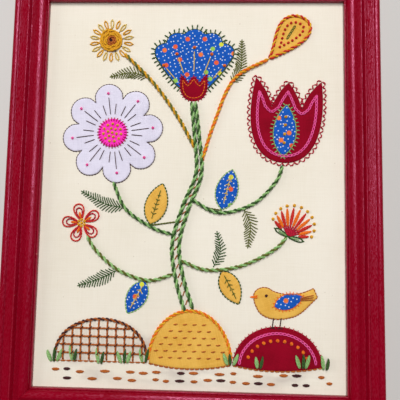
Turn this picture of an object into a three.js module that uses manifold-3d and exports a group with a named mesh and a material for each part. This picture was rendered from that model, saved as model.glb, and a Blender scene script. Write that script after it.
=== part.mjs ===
// Framed crewel embroidery, lying on its back: a painted wooden frame of four mitred rails,
// a cream ground cloth stretched over a board, and the cloth patches sewn to its face.
// Units are millimetres. +Z points up, out of the picture's face, and +Y is the picture's own up.
// The origin is the middle of the frame's back.

import * as THREE from "three";
import { mergeVertices } from "three/addons/utils/BufferGeometryUtils.js";
import Module from "manifold-3d";

const wasm = await Module();
wasm.setup();

// Driving dimensions
const WORK = { width: 279.4, height: 355.6 }; // stretched cloth, 11 by 14 inches
const RABBET_PLAY = 0.8; // room between the stretched cloth and the rabbet's wall
const RABBET_HEIGHT = 9; // from the frame's back to the underside of the sight lip
const LIP = 6.5; // how far the sight lip reaches over the cloth
const FACE = 31; // width of a rail, from its outer side to its sight edge
const PIECE_GAP = 0.3; // between pieces that touch
const CLOTH = 1; // thickness of the ground cloth and of each patch
const BOARD = 3; // thickness of the board
const TURNING = 22; // margin of cloth turned to the back of the board

// Sizes that follow
const RABBET = { width: WORK.width + 2 * RABBET_PLAY, height: WORK.height + 2 * RABBET_PLAY };
const OUTER_GROWTH = 2 * (FACE - LIP);
const OUTER = { width: RABBET.width + OUTER_GROWTH, height: RABBET.height + OUTER_GROWTH };
const CLOTH_TOP = RABBET_HEIGHT - PIECE_GAP;
const BOARD_TOP = CLOTH_TOP - CLOTH - PIECE_GAP;
const CLOTH_BACK = BOARD_TOP - BOARD - PIECE_GAP - CLOTH;

// The moulding's face, from the outer side to the sight edge. Each row ends at a place across the rail
// and a height above the frame's back. A row with a bend is a curve drawn towards that point.
const MOULDING = [
  { part: "outer side", across: 0, height: 12.5 },
  { part: "outer bead rise", across: 3.7, height: 17.8, bend: { across: 0.3, height: 17.7 } },
  { part: "outer bead fall", across: 6.6, height: 16.6, bend: { across: 5.6, height: 17.8 } },
  { part: "outer flat", across: 13.4, height: 16.6 },
  { part: "ridge face", across: 13.8, height: 17.4 },
  { part: "ridge top", across: 15.2, height: 17.1, bend: { across: 14.5, height: 18.1 } },
  { part: "ridge fall", across: 16.3, height: 14.4 },
  { part: "scoop", across: 20.6, height: 15.3, bend: { across: 18.6, height: 14.3 } },
  { part: "inner bead rise", across: 24, height: 17, bend: { across: 22.4, height: 16.8 } },
  { part: "inner bead fall", across: 29.5, height: 13.4, bend: { across: 28.8, height: 16.5 } },
  { part: "quirk", across: 29.9, height: 12.5 },
  { part: "lip rise", across: 30.2, height: 13.1 },
  { part: "lip round", across: FACE, height: 12.3, bend: { across: 30.95, height: 13.3 } },
];

const COLOURS = {
  paint: 0x89102a,
  cream: 0xeee6d8,
  card: 0x96785a,
  red: 0x8b0620,
  gold: 0xdda945,
  blue: 0x1e55a5,
  white: 0xe8e4f0,
  pink: 0xf344a7,
};

// Cuts of the sewn patches

// A rounded mound on a gently sagging base line.
function hillock({ width, height, sag }) {
  const shape = new THREE.Shape();
  shape.absellipse(0, 0, width / 2, height, Math.PI, 0, true);
  shape.quadraticCurveTo(0, -2 * sag, -width / 2, 0);
  return shape;
}

// A cup of three pointed petals, its base at the origin.
function tulip({ width, height }) {
  const half = width / 2;
  const shape = new THREE.Shape();
  shape.moveTo(0, 0);
  shape.bezierCurveTo(0.9 * half, 0, 1.15 * half, 0.45 * height, 0.92 * half, height);
  shape.quadraticCurveTo(0.55 * half, 0.86 * height, 0.42 * half, 0.66 * height);
  shape.quadraticCurveTo(0.25 * half, 0.86 * height, 0, 0.96 * height);
  shape.quadraticCurveTo(-0.25 * half, 0.86 * height, -0.42 * half, 0.66 * height);
  shape.quadraticCurveTo(-0.55 * half, 0.86 * height, -0.92 * half, height);
  shape.bezierCurveTo(-1.15 * half, 0.45 * height, -0.9 * half, 0, 0, 0);
  return shape;
}

// A fan with a scalloped top, its base at the origin.
function carnation({ width, height, scallops }) {
  const half = width / 2;
  const centre = 0.45 * height;
  const rise = 0.45 * height;
  const first = THREE.MathUtils.degToRad(12);
  const step = (Math.PI - 2 * first) / scallops;
  const rim = (angle, reach) => [reach * half * Math.cos(angle), centre + reach * rise * Math.sin(angle)];
  const shape = new THREE.Shape();
  shape.moveTo(0, 0);
  shape.bezierCurveTo(0.3 * half, 0.04 * height, 0.7 * half, 0.3 * height, ...rim(first, 1));
  for (let i = 0; i < scallops; i++) {
    shape.quadraticCurveTo(...rim(first + (i + 0.5) * step, 1.28), ...rim(first + (i + 1) * step, 1));
  }
  shape.bezierCurveTo(-0.7 * half, 0.3 * height, -0.3 * half, 0.04 * height, 0, 0);
  return shape;
}

// A ring of round petals about the origin, joined in one piece.
function daisy({ radius, petals, notch }) {
  const perPetal = 12;
  const points = [];
  for (let i = 0; i < petals * perPetal; i++) {
    const angle = (2 * Math.PI * i) / (petals * perPetal);
    const fullness = Math.abs(Math.cos((petals * angle) / 2)) ** 0.6;
    const reach = radius * (1 - notch * (1 - fullness));
    points.push(new THREE.Vector2(reach * Math.cos(angle), reach * Math.sin(angle)));
  }
  return new THREE.Shape(points);
}

// A leaf pointed at both ends, its base at the origin.
function leaf({ width, length }) {
  const shape = new THREE.Shape();
  shape.moveTo(0, 0);
  shape.bezierCurveTo(0.75 * width, 0.25 * length, 0.55 * width, 0.75 * length, 0, length);
  shape.bezierCurveTo(-0.55 * width, 0.75 * length, -0.75 * width, 0.25 * length, 0, 0);
  return shape;
}

// A drop with a round head and a tail that curls to one side, the tail's end at the origin.
function paisley({ width, length, curl }) {
  const count = 44;
  const fullest = 0.72; // widest reach of the drop formula below
  const points = [];
  for (let i = 0; i < count; i++) {
    const turn = (2 * Math.PI * i) / count;
    const y = (length * (1 - Math.cos(turn))) / 2;
    const half = (width / 2 / fullest) * Math.sin(turn) * Math.sin(turn / 2) ** 1.5;
    const lean = curl * (1 - (1 - y / length) ** 2);
    points.push(new THREE.Vector2(half + lean, y));
  }
  return new THREE.Shape(points);
}

function disc({ radius }) {
  const shape = new THREE.Shape();
  shape.absarc(0, 0, radius, 0, 2 * Math.PI);
  return shape;
}

// A small bird that faces left, its feet at the origin.
function bird({ length }) {
  const drawnLength = 58; // beak to tail of the points below
  const unit = length / drawnLength;
  const at = (...values) => values.map((value) => value * unit);
  const shape = new THREE.Shape();
  shape.moveTo(...at(-24, 18));
  shape.bezierCurveTo(...at(-25.5, 26, -14, 31, -7, 24));
  shape.bezierCurveTo(...at(2, 20, 14, 17, 31, 25));
  shape.lineTo(...at(34, 17));
  shape.bezierCurveTo(...at(26, 11, 19, 1, 8, -0.5));
  shape.bezierCurveTo(...at(-5, -3.5, -19, 0, -21.5, 9));
  shape.bezierCurveTo(...at(-23, 12, -24, 15, -24, 18));
  return shape;
}

// The patches: the cut of each, its cloth, where its base lies on the picture and how it is turned.
// The heart, eye, cup and wing lie in a second layer, on the patch named before them.
const PATCHES = {
  hillock_gold: { cut: hillock({ width: 70, height: 44, sag: 4 }), cloth: "gold", at: [1, -150] },
  hillock_red: { cut: hillock({ width: 76, height: 33, sag: 4 }), cloth: "red", at: [76, -150] },
  tulip: { cut: tulip({ width: 64, height: 76 }), cloth: "red", at: [80, 25], turn: -4 },
  tulip_heart: { cut: leaf({ width: 20, length: 46 }), cloth: "blue", at: [80, 31], turn: -4, layer: 1 },
  daisy: { cut: daisy({ radius: 45, petals: 8, notch: 0.3 }), cloth: "white", at: [-72, 50], turn: 8 },
  daisy_eye: { cut: disc({ radius: 13 }), cloth: "pink", at: [-72, 50], layer: 1 },
  carnation: { cut: carnation({ width: 70, height: 66, scallops: 5 }), cloth: "blue", at: [0, 84] },
  carnation_cup: { cut: tulip({ width: 25, height: 24 }), cloth: "red", at: [0, 80], layer: 1 },
  paisley: { cut: paisley({ width: 27, length: 44, curl: 15 }), cloth: "gold", at: [68, 120], turn: -16 },
  leaf_left: { cut: leaf({ width: 19, length: 37 }), cloth: "gold", at: [-36, -31], turn: -16 },
  leaf_right: { cut: leaf({ width: 19, length: 36 }), cloth: "blue", at: [27, -17], turn: -14 },
  leaf_low_left: { cut: leaf({ width: 17, length: 31 }), cloth: "blue", at: [-39, -81], turn: 152 },
  leaf_low_right: { cut: leaf({ width: 17, length: 31 }), cloth: "gold", at: [28, -71], turn: -152 },
  bird: { cut: bird({ length: 54 }), cloth: "gold", at: [79, -109], turn: 3 },
  bird_wing: { cut: leaf({ width: 13, length: 26 }), cloth: "blue", at: [73, -100], turn: -70, layer: 1 },
};
const OUTLINE_STEPS = 10; // segments along each curve of an outline

const frame = new THREE.Group();

function addPiece(name, geometry, colour, roughness) {
  const material = new THREE.MeshStandardMaterial({ color: COLOURS[colour], roughness, metalness: 0 });
  const mesh = new THREE.Mesh(geometry, material);
  mesh.name = name;
  frame.add(mesh);
  return mesh;
}

// Cross-section of a rail: across the rail from its outer side, and up from the frame's back.
function railSection() {
  const wall = FACE - LIP;
  const section = new THREE.Shape();
  section.moveTo(0, 0);
  for (const { across, height, bend } of MOULDING) {
    if (bend) section.quadraticCurveTo(bend.across, bend.height, across, height);
    else section.lineTo(across, height);
  }
  section.lineTo(FACE, RABBET_HEIGHT);
  section.lineTo(wall, RABBET_HEIGHT);
  section.lineTo(wall, 0);
  return section;
}

// A rail along X with its outer side at -Y. Both ends are cut at 45 degrees, a little short of the joint.
function railGeometry(length, offset) {
  const jointCut = PIECE_GAP / Math.SQRT2;
  const geometry = new THREE.ExtrudeGeometry(railSection(), {
    depth: 1,
    bevelEnabled: false,
    curveSegments: 7,
  });
  const position = geometry.getAttribute("position");
  for (let i = 0; i < position.count; i++) {
    const across = position.getX(i);
    const height = position.getY(i);
    const end = position.getZ(i) > 0.5 ? 1 : -1;
    position.setXYZ(i, end * (length / 2 - across - jointCut), across - offset, height);
  }
  geometry.computeVertexNormals();
  return geometry;
}

const RAILS = [
  { name: "rail_bottom", length: OUTER.width, offset: OUTER.height / 2, quarterTurns: 0 },
  { name: "rail_right", length: OUTER.height, offset: OUTER.width / 2, quarterTurns: 1 },
  { name: "rail_top", length: OUTER.width, offset: OUTER.height / 2, quarterTurns: 2 },
  { name: "rail_left", length: OUTER.height, offset: OUTER.width / 2, quarterTurns: 3 },
];
for (const { name, length, offset, quarterTurns } of RAILS) {
  const rail = addPiece(name, railGeometry(length, offset), "paint", 0.35);
  rail.rotation.z = (quarterTurns * Math.PI) / 2;
}

// A closed geometry as a solid, and back.
function solidOf(geometry) {
  geometry.deleteAttribute("normal");
  geometry.deleteAttribute("uv");
  const merged = mergeVertices(geometry);
  const vertProperties = merged.getAttribute("position").array;
  const triVerts = new Uint32Array(merged.index.array);
  return new wasm.Manifold(new wasm.Mesh({ numProp: 3, vertProperties, triVerts }));
}

function geometryOf(solid) {
  const { vertProperties, triVerts } = solid.getMesh();
  const geometry = new THREE.BufferGeometry();
  geometry.setAttribute("position", new THREE.BufferAttribute(vertProperties, 3));
  geometry.setIndex(new THREE.BufferAttribute(triVerts, 1));
  geometry.computeVertexNormals();
  return geometry;
}

// A plate the size of the stretched work, taken in by a margin all round.
function plate(margin, bottom, top) {
  const box = new THREE.BoxGeometry(WORK.width - 2 * margin, WORK.height - 2 * margin, top - bottom);
  return box.translate(0, 0, (bottom + top) / 2);
}

// The ground cloth covers the board's face, goes round its edges and lies turned on its back.
function groundCloth() {
  const pocket = plate(CLOTH, CLOTH_BACK + CLOTH, CLOTH_TOP - CLOTH);
  const backWindow = plate(TURNING, CLOTH_BACK - CLOTH, BOARD_TOP - BOARD);
  const whole = solidOf(plate(0, CLOTH_BACK, CLOTH_TOP));
  return geometryOf(whole.subtract(solidOf(pocket)).subtract(solidOf(backWindow)));
}

addPiece("ground_cloth", groundCloth(), "cream", 0.9);
addPiece("mount_board", plate(CLOTH + PIECE_GAP, BOARD_TOP - BOARD, BOARD_TOP), "card", 0.85);

for (const [name, { cut, cloth, at, turn = 0, layer = 0 }] of Object.entries(PATCHES)) {
  const geometry = new THREE.ExtrudeGeometry(cut, {
    depth: CLOTH,
    bevelEnabled: false,
    curveSegments: OUTLINE_STEPS,
  });
  const patch = addPiece(`patch_${name}`, geometry, cloth, 0.9);
  patch.rotation.z = THREE.MathUtils.degToRad(turn);
  patch.position.set(...at, CLOTH_TOP + PIECE_GAP + layer * (CLOTH + PIECE_GAP));
}

export default frame;
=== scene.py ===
# Looks of a framed crewel embroidery: painted rails, stretched cloth, sewn patches and yarn stitches.
# x runs to the picture's right, y up the picture and z out of its face, in the frame of the CAD parts.
# Sizes are millimetres, apart from those of the floor, the lamps and the camera, which are metres.

import math
import random

import bmesh
import bpy
import numpy as np
from mathutils import Matrix, Vector, noise
from mathutils.bvhtree import BVHTree
from mathutils.geometry import delaunay_2d_cdt


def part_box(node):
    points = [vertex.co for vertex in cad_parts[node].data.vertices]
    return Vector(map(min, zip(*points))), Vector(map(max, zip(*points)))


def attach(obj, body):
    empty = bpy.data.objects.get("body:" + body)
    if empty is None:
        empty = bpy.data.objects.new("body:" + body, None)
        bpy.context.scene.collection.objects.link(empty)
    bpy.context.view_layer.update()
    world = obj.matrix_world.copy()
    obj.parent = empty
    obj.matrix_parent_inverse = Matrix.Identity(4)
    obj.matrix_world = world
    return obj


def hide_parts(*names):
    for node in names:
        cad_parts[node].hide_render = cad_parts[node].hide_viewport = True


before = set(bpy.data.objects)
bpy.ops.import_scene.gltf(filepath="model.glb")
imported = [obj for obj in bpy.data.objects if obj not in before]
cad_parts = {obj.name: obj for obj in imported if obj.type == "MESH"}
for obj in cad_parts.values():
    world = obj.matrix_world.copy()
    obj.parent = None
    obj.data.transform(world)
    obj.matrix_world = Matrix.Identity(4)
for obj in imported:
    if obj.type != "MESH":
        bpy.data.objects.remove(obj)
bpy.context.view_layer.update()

MM = 0.001
chance = random.Random(11)


# Sizes taken from the frame

def node_box(name):
    """Lowest and highest corner of a CAD part, in millimetres."""
    low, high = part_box(name)
    return np.array(low) / MM, np.array(high) / MM


CLOTH_HIGH = node_box("ground_cloth")[1]
BOARD_LOW = node_box("mount_board")[0]
LEFT_LOW, LEFT_HIGH = node_box("rail_left")
OUTER_HALF = (-LEFT_LOW[0], node_box("rail_top")[1][1])
FACE = LEFT_HIGH[0] - LEFT_LOW[0]
CLOTH_FACE = CLOTH_HIGH[2]


# Paths

UP = (0, 1)


def run_along(path):
    """Distance along a path at each of its points."""
    return np.concatenate([[0], np.cumsum(np.linalg.norm(np.diff(path, axis=0), axis=1))])


def even_steps(path, step):
    """The same path cut to even steps of about the given length."""
    path = np.asarray(path, float)
    run = run_along(path)
    places = np.linspace(0, run[-1], max(2, round(run[-1] / step) + 1))
    return np.stack([np.interp(places, run, column) for column in path.T], axis=1)


def through(points, step=1.0):
    """A smooth path through given points, cut to even steps."""
    points = np.asarray(points, float)
    ring = np.vstack([2 * points[0] - points[1], points, 2 * points[-1] - points[-2]])
    t = np.linspace(0, 1, 12, endpoint=False)[:, None]
    spans = []
    for a, b, c, d in zip(ring, ring[1:], ring[2:], ring[3:]):
        square = 2 * a - 5 * b + 4 * c - d
        cube = 3 * b - a - 3 * c + d
        spans.append(b + 0.5 * t * (c - a + t * (square + t * cube)))
    return even_steps(np.vstack(spans + [points[-1:]]), step)


def bent(begin, towards, end, shares):
    """Points of a curve from begin to end that bends towards a third point."""
    begin, towards, end = (np.asarray(point, float) for point in (begin, towards, end))
    return [(1 - t) ** 2 * begin + 2 * t * (1 - t) * towards + t * t * end for t in shares]


def unit(vectors):
    """The same directions, one long."""
    return vectors / np.maximum(np.linalg.norm(vectors, axis=1), 1e-9)[:, None]


def left_of(vector):
    """A flat vector turned a quarter to the left."""
    return np.array([-vector[1], vector[0]])


def leftward(path):
    """Unit directions to the left of a flat path."""
    return left_of(unit(np.gradient(path, axis=0)).T).T


def inward_of(outline):
    """Unit directions into a counter-clockwise outline."""
    return left_of(unit(np.roll(outline, -1, axis=0) - np.roll(outline, 1, axis=0)).T).T


def turned(vector, degrees):
    """A flat vector turned to the left."""
    angle = math.radians(degrees)
    x, y = vector
    return np.array([x * math.cos(angle) - y * math.sin(angle), x * math.sin(angle) + y * math.cos(angle)])


def ray(centre, degrees, *reaches):
    """Places that far from a centre in one direction, counted to the left from straight up."""
    way = turned(UP, degrees)
    return [centre + reach * way for reach in reaches]


def turns_at(outline):
    """Turn to the left at each point of a closed outline, in radians."""
    before = outline - np.roll(outline, 1, axis=0)
    after = np.roll(outline, -1, axis=0) - outline
    cross = before[:, 0] * after[:, 1] - before[:, 1] * after[:, 0]
    return np.arctan2(cross, (before * after).sum(1))


def closed(outline):
    """A closed outline as a path that comes back to its start."""
    return np.vstack([outline, outline[:1]])


def longest_run(outline, keep):
    """The longest unbroken part of a closed outline whose points are kept, as an open path."""
    runs = []
    for start in np.flatnonzero(keep & ~np.roll(keep, 1)):
        order = (start + np.arange(len(outline))) % len(outline)
        runs.append(outline[order[: int(np.argmin(keep[order]))]])
    return max(runs, key=len)


def far_point(outline, way):
    """The point of an outline that lies furthest in one direction."""
    return outline[np.argmax(outline @ np.array(way))]


def smooth_rise(value, low, high):
    """0 below low, 1 above high, with a soft change between."""
    t = np.clip((value - low) / (high - low), 0, 1)
    return t * t * (3 - 2 * t)


def ripple(x, y, size, seed=0):
    """Soft random ups and downs, between about -1 and 1, over places in millimetres."""
    places = zip(np.ravel(x) / size, np.ravel(y) / size)
    return np.array([noise.noise((a, b, seed * 7.3)) for a, b in places]).reshape(np.shape(x))


# Mesh pieces

def placed(name, data):
    """A new object in the scene, made of a mesh, a lamp or a camera."""
    made = bpy.data.objects.new(name, data)
    bpy.context.scene.collection.objects.link(made)
    return made


def make_piece(name, points, faces, material, stands_for=(), sharp=50):
    """A mesh piece from points in millimetres, riding on the one body."""
    mesh = bpy.data.meshes.new(name)
    mesh.from_pydata((np.asarray(points) * MM).tolist(), [], faces)
    mesh.shade_smooth()
    mesh.set_sharp_from_angle(angle=math.radians(sharp))
    mesh.materials.append(material)
    piece = placed(name, mesh)
    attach(piece, "root")
    if stands_for:
        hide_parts(*stands_for)
    return piece


def grid_faces(rows, columns, wrapped=False):
    """Four-sided faces between rows of points, with each row joined to its start if it is wrapped."""
    faces = []
    for j in range(0, (rows - 1) * columns, columns):
        for i in range(columns if wrapped else columns - 1):
            right = (i + 1) % columns
            faces.append((j + i, j + right, j + columns + right, j + columns + i))
    return faces


def face_outward(piece):
    """Turns the faces of a closed mesh outward."""
    edit = bmesh.new()
    edit.from_mesh(piece.data)
    bmesh.ops.recalc_face_normals(edit, faces=edit.faces)
    edit.to_mesh(piece.data)
    edit.free()


def set_corner_map(mesh, name, corners):
    """A flat map of the surface, one place for each face corner."""
    layer = mesh.uv_layers.new(name=name)
    layer.uv.foreach_set("vector", np.asarray(corners, np.float32).ravel())


def set_point_map(mesh, name, places):
    """A flat map of the surface, one place for each point."""
    corner_points = np.zeros(len(mesh.loops), np.int32)
    mesh.loops.foreach_get("vertex_index", corner_points)
    set_corner_map(mesh, name, np.asarray(places)[corner_points])


def set_point_value(mesh, name, values):
    """A number carried by each point of the surface."""
    layer = mesh.attributes.new(name, "FLOAT", "POINT")
    layer.data.foreach_set("value", np.asarray(values, np.float32))


# Shader node helpers

def linear(red, green, blue):
    """A colour seen as red, green and blue of 255, as the shader's linear colour."""
    seen = np.array([red, green, blue]) / 255
    lit = np.where(seen > 0.04, ((seen + 0.055) / 1.055) ** 2.4, seen / 12.92)
    return (*lit.tolist(), 1.0)


def feed(tree, socket, value):
    """Gives an input a number, a colour or another node's socket."""
    if isinstance(value, bpy.types.NodeSocket):
        tree.links.new(value, socket)
    else:
        socket.default_value = value


def node(tree, kind, inputs=None, **settings):
    """A new node with its settings and inputs."""
    made = tree.nodes.new(kind)
    for key, value in settings.items():
        setattr(made, key, value)
    for key, value in (inputs or {}).items():
        feed(tree, made.inputs[key], value)
    return made


def maths(tree, operation, a, b=0.0, c=0.0):
    """One step of arithmetic."""
    return node(tree, "ShaderNodeMath", {0: a, 1: b, 2: c}, operation=operation).outputs[0]


def times(tree, product, *values):
    """Values multiplied together."""
    for value in values:
        product = maths(tree, "MULTIPLY", product, value)
    return product


def weighted(tree, total, *shares):
    """A first value plus others, each times its own share."""
    for value, share in shares:
        total = maths(tree, "MULTIPLY_ADD", value, share, total)
    return total


def spread(tree, value, low, high, to_low=0.0, to_high=1.0):
    """value carried smoothly from one range to another and held inside it."""
    inputs = {"Value": value, "From Min": low, "From Max": high, "To Min": to_low, "To Max": to_high}
    return node(tree, "ShaderNodeMapRange", inputs, interpolation_type="SMOOTHSTEP").outputs["Result"]


def blend_colours(tree, share, a, b):
    """A share of b over a. Each is a colour of 255 or another node's socket."""
    a, b = (linear(*colour) if isinstance(colour, tuple) else colour for colour in (a, b))
    made = node(tree, "ShaderNodeMix", {0: share, 6: a, 7: b}, data_type="RGBA", blend_type="MIX")
    return made.outputs[2]


def stretched(tree, place, scale):
    """Places scaled apart by a different amount on each axis."""
    return node(tree, "ShaderNodeVectorMath", {0: place, 1: scale}, operation="MULTIPLY").outputs[0]


def cloudy(tree, place, scale, detail=3.0, roughness=0.55):
    """Soft random values from 0 to 1, stretched if the scale is a pair."""
    if isinstance(scale, tuple):
        place = stretched(tree, place, (*scale, 1.0))
        scale = 1.0
    inputs = {"Vector": place, "Scale": scale, "Detail": detail, "Roughness": roughness}
    return node(tree, "ShaderNodeTexNoise", inputs).outputs["Fac"]


def body_place(tree):
    """Places in the frame of the CAD parts, in millimetres."""
    return stretched(tree, node(tree, "ShaderNodeTexCoord").outputs["Object"], (1 / MM, 1 / MM, 1 / MM))


def mapped(tree, name):
    """Places on one of the surface's flat maps."""
    return node(tree, "ShaderNodeUVMap", uv_map=name).outputs[0]


def carried(tree, name):
    """A number carried by the surface's points."""
    return node(tree, "ShaderNodeAttribute", attribute_name=name).outputs["Fac"]


def bumped(tree, height, strength, distance):
    """The surface's normal over a height, with the bump's depth in millimetres."""
    inputs = {"Strength": strength, "Distance": distance * MM, "Height": height}
    return node(tree, "ShaderNodeBump", inputs).outputs["Normal"]


def new_group(name, inputs, outputs):
    """A shader node group with named sockets: its nodes, what it takes and what it gives."""
    tree = bpy.data.node_groups.new(name, "ShaderNodeTree")
    for socket, kind in inputs.items():
        tree.interface.new_socket(socket, in_out="INPUT", socket_type="NodeSocket" + kind)
    for socket in outputs:
        tree.interface.new_socket(socket, in_out="OUTPUT", socket_type="NodeSocketFloat")
    return tree, tree.nodes.new("NodeGroupInput").outputs, tree.nodes.new("NodeGroupOutput").inputs


def from_group(tree, group, inputs=None):
    """What a shader node group gives for some inputs."""
    return node(tree, "ShaderNodeGroup", inputs, node_tree=group).outputs


def new_material(name):
    """A material and its nodes."""
    material = bpy.data.materials.new(name)
    material.use_nodes = True
    return material, material.node_tree


def set_finish(material, colour, roughness, normal=None, specular=0.5, sheen=0.0):
    """Joins a colour, a roughness and a normal to the material's one shader."""
    tree = material.node_tree
    shader = tree.nodes["Principled BSDF"]
    feed(tree, shader.inputs["Base Color"], colour)
    feed(tree, shader.inputs["Roughness"], roughness)
    if normal is not None:
        feed(tree, shader.inputs["Normal"], normal)
    shader.inputs["Specular IOR Level"].default_value = specular
    shader.inputs["Sheen Weight"].default_value = sheen
    return material


# Shader node groups

def woven_threads_group():
    """Plain weave: threads that pass over and under each other, with slubs along them."""
    inputs = {"Place": "Vector", "Pitch": "Float"}
    tree, takes, gives = new_group("woven threads", inputs, ("Height", "Slub"))
    place = takes["Place"]
    inputs = {"Vector": place, "Scale": 0.16, "Detail": 2.0}
    drift = node(tree, "ShaderNodeTexNoise", inputs).outputs["Color"]
    inputs = {0: drift, 1: (1.1, 1.1, 1.1), 2: place}
    moved = node(tree, "ShaderNodeVectorMath", inputs, operation="MULTIPLY_ADD").outputs[0]
    axes = node(tree, "ShaderNodeSeparateXYZ", {0: moved}).outputs
    across, up = (
        maths(tree, "SINE", times(tree, maths(tree, "DIVIDE", axes[axis], takes["Pitch"]), math.pi))
        for axis in ("X", "Y")
    )
    over = maths(tree, "GREATER_THAN", times(tree, across, up), 0.0)
    warp = times(tree, maths(tree, "ABSOLUTE", across), over)
    weft = times(tree, maths(tree, "ABSOLUTE", up), maths(tree, "SUBTRACT", 1.0, over))
    slub = maths(tree, "ADD", cloudy(tree, place, (0.05, 1.5), 2.0), cloudy(tree, place, (1.5, 0.05), 2.0))
    slub = times(tree, slub, 0.5)
    feed(tree, gives["Height"], weighted(tree, maths(tree, "ADD", warp, weft), (slub, 0.8)))
    feed(tree, gives["Slub"], slub)
    return tree


def plied_wool_group():
    """Fibres along a twisted strand: its tone, with painted shade in the grooves between its plies, and its
    fine relief.
    """
    tree, _, gives = new_group("plied wool", {}, ("Tone", "Height"))
    strand = mapped(tree, "Strand")
    around = node(tree, "ShaderNodeSeparateXYZ", {0: strand}).outputs["X"]
    lobes = maths(tree, "ABSOLUTE", maths(tree, "COSINE", times(tree, around, 2 * math.pi)))
    ply = maths(tree, "POWER", lobes, 0.55)
    fibres = cloudy(tree, strand, (30.0, 0.55), 4.0, 0.7)
    mottle = cloudy(tree, strand, (2.0, 0.35), 2.0)
    shade = carried(tree, "strand_shade")
    # The ply term makes the tops of the plies lighter and the grooves between them darker: painted shade.
    tone = weighted(tree, -0.92, (fibres, 1.1), (ply, 0.62), (mottle, 0.4), (shade, 0.25))
    feed(tree, gives["Tone"], node(tree, "ShaderNodeClamp", {"Value": tone}).outputs[0])
    feed(tree, gives["Height"], weighted(tree, times(tree, ply, 0.9), (fibres, 1.3)))
    return tree


def scattered_dots_group():
    """Round dots, one in each cell of a loose scatter, and a random value for each dot."""
    inputs = {"Place": "Vector", "Cell": "Float", "Radius": "Float"}
    tree, takes, gives = new_group("scattered dots", inputs, ("Dot", "Pick"))
    cell = node(tree, "ShaderNodeCombineXYZ", {0: takes["Cell"], 1: takes["Cell"], 2: 1.0}).outputs[0]
    cells = node(tree, "ShaderNodeVectorMath", {0: takes["Place"], 1: cell}, operation="DIVIDE").outputs[0]
    inputs = {"Vector": cells, "Scale": 1.0, "Randomness": 0.62}
    scatter = node(tree, "ShaderNodeTexVoronoi", inputs, voronoi_dimensions="2D").outputs
    away = times(tree, scatter["Distance"], takes["Cell"])
    inner, outer = (times(tree, takes["Radius"], share) for share in (0.85, 1.15))
    feed(tree, gives["Dot"], spread(tree, away, inner, outer, 1.0, 0.0))
    feed(tree, gives["Pick"], node(tree, "ShaderNodeSeparateColor", {0: scatter["Color"]}).outputs[0])
    return tree


WOVEN_THREADS = woven_threads_group()
PLIED_WOOL = plied_wool_group()
SCATTERED_DOTS = scattered_dots_group()


# Materials

def painted_wood():
    """Satin red paint on a moulding, brushed along it, with painted shade in its hollows, worn and given a
    painted highlight on its ridges, over bare wood at the back.
    """
    material, tree = new_material("satin red paint")
    grain = mapped(tree, "Grain")
    place = body_place(tree)
    ridge = carried(tree, "ridge")
    bare = carried(tree, "bare")
    brush = cloudy(tree, grain, (0.035, 1.7), 4.0, 0.6)
    speckle = cloudy(tree, grain, (0.42, 0.7), 3.0, 0.6)
    dashes = cloudy(tree, grain, (0.3, 1.2), 1.0, 0.5)
    tone = weighted(tree, -0.1, (brush, 0.3), (speckle, 0.35), (cloudy(tree, place, 0.03), 0.5))
    paint = blend_colours(tree, spread(tree, tone, 0.2, 0.8), (128, 0, 18), (145, 2, 34))
    # Painted shade: the paint is darkened in the moulding's hollows, where shade falls.
    hollow_shade = spread(tree, ridge, -0.25, -0.8, 0.0, 0.2)
    paint = blend_colours(tree, hollow_shade, paint, (70, 0, 12))
    # Pale pink on the ridges: partly wear, partly a painted highlight along the ridge lines.
    ridge_speckle = weighted(tree, -0.35, (ridge, 0.55), (speckle, 0.9))
    wear_and_sheen = times(tree, spread(tree, ridge_speckle, 0.42, 0.75), spread(tree, ridge, 0.15, 0.55, 0.0, 0.24))
    paint = blend_colours(tree, wear_and_sheen, paint, (186, 60, 84))
    chipping = spread(tree, cloudy(tree, place, 0.42, 2.0), 0.735, 0.76)
    chips = times(tree, chipping, spread(tree, ridge, 0.12, 0.4))
    paint = blend_colours(tree, chips, paint, (214, 168, 150))
    figure = cloudy(tree, grain, (0.012, 0.9), 5.0, 0.7)
    wood = blend_colours(tree, spread(tree, figure, 0.35, 0.65), (196, 158, 112), (160, 116, 74))
    colour = blend_colours(tree, bare, paint, wood)
    flecks = weighted(tree, dashes, (cloudy(tree, grain, (0.06, 0.14), 2.0), 0.35))
    gloss = weighted(tree, spread(tree, flecks, 0.62, 0.72, 0.44, 0.14), (bare, 0.35))
    relief = weighted(tree, dashes, (speckle, 0.3), (brush, 0.2))
    tree.nodes["Principled BSDF"].inputs["Specular Tint"].default_value = (1.0, 0.34, 0.6, 1.0)
    return set_finish(material, colour, gloss, bumped(tree, relief, 0.7, 0.22), 0.55)


def card_board():
    """Plain brown card with short fibres pressed in it."""
    material, tree = new_material("brown card")
    place = body_place(tree)
    fibres = cloudy(tree, place, (0.5, 1.6), 5.0, 0.7)
    tone = weighted(tree, 0.0, (fibres, 0.5), (cloudy(tree, place, 0.02), 0.5))
    card = blend_colours(tree, spread(tree, tone, 0.3, 0.7), (138, 108, 76), (170, 138, 102))
    return set_finish(material, card, 0.88, bumped(tree, fibres, 0.25, 0.1))


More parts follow.
